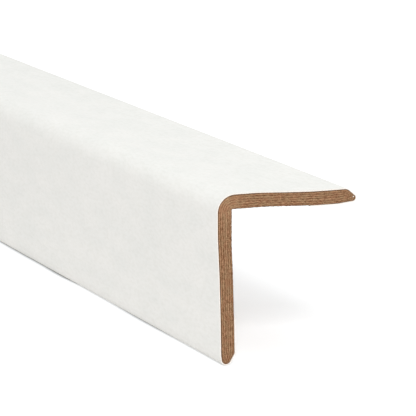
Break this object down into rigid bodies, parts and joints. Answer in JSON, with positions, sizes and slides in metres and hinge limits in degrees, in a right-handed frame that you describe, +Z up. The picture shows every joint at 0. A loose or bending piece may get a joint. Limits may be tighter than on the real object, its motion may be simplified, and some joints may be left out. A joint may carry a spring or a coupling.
{
  "type": "pallet edge protector",
  "caption": "Angle profile of laminated kraft board with a white liner, laid over the edge of a palletised load to spread the pressure of straps.",
  "frame": {"origin": "sharp inner corner of the section, at the middle of the length, where the load's edge lies", "axes": "+X along the top leg from the fold to its edge, +Y along the length, +Z up out of the top leg; the side leg hangs along -Z"},
  "size_m": [0.042, 0.6, 0.05],
  "materials": {
    "kraft_board": "matt brown laminated kraft board with saw-cut ends",
    "white_liner": "smooth matt white liner paper"
  },
  "bodies": {
    "root": {"board_core": "kraft_board", "cover_liner": "white_liner"}
  },
  "joints": []
}
